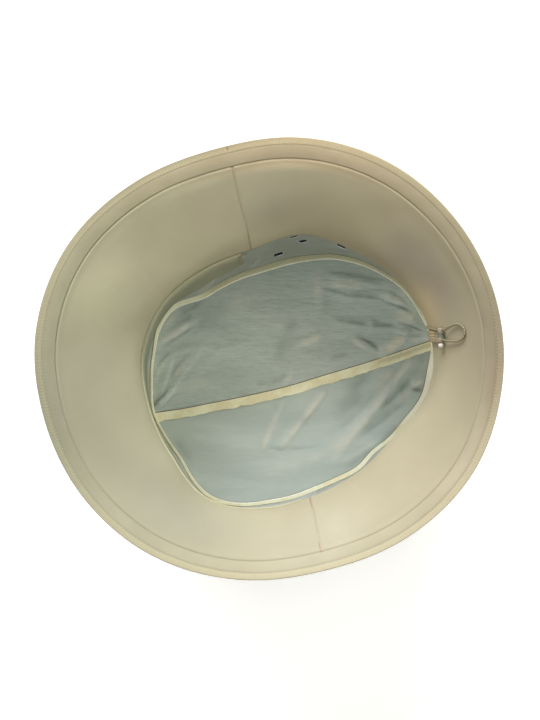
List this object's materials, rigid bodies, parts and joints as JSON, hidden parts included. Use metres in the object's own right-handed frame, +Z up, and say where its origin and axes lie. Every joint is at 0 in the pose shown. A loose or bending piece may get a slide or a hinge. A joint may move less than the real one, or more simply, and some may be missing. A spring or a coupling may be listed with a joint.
{
  "type": "floppy sun hat",
  "caption": "Soft wide-brimmed sun hat lying on its crown tip, with vent slots, taped crown seams, a stitched brim hem and a drawcord with a barrel lock.",
  "frame": {"origin": "on the surface that the hat lies on, below the middle of the brim's outline seen from above", "axes": "+Z up out of the crown's open mouth, +Y towards the back of the hat, where the drawcord is, and +X towards the wearer's right"},
  "size_m": [0.2857, 0.3023, 0.1479],
  "materials": {
    "brim_cloth": "matte woven khaki",
    "crown_cloth": "thin satin-backed grey green",
    "seam_tape": "matte cream binding",
    "sweatband": "smooth olive",
    "cord": "braided khaki",
    "cord_lock": "cloudy, half clear"
  },
  "bodies": {
    "root": {"tip_panel_left": "crown_cloth", "tip_panel_right": "crown_cloth", "side_band_left": "crown_cloth", "side_band_right": "crown_cloth", "centre_seam_tape": "seam_tape", "tip_seam_tape": "seam_tape", "front_sweatband": "sweatband", "brim_front": "brim_cloth", "brim_back": "brim_cloth", "hem_front": "brim_cloth", "hem_back": "brim_cloth", "cord_tab": "brim_cloth", "drawcord": "cord", "cord_lock": "cord_lock", "cord_lock_button": "cord_lock"}
  },
  "joints": []
}
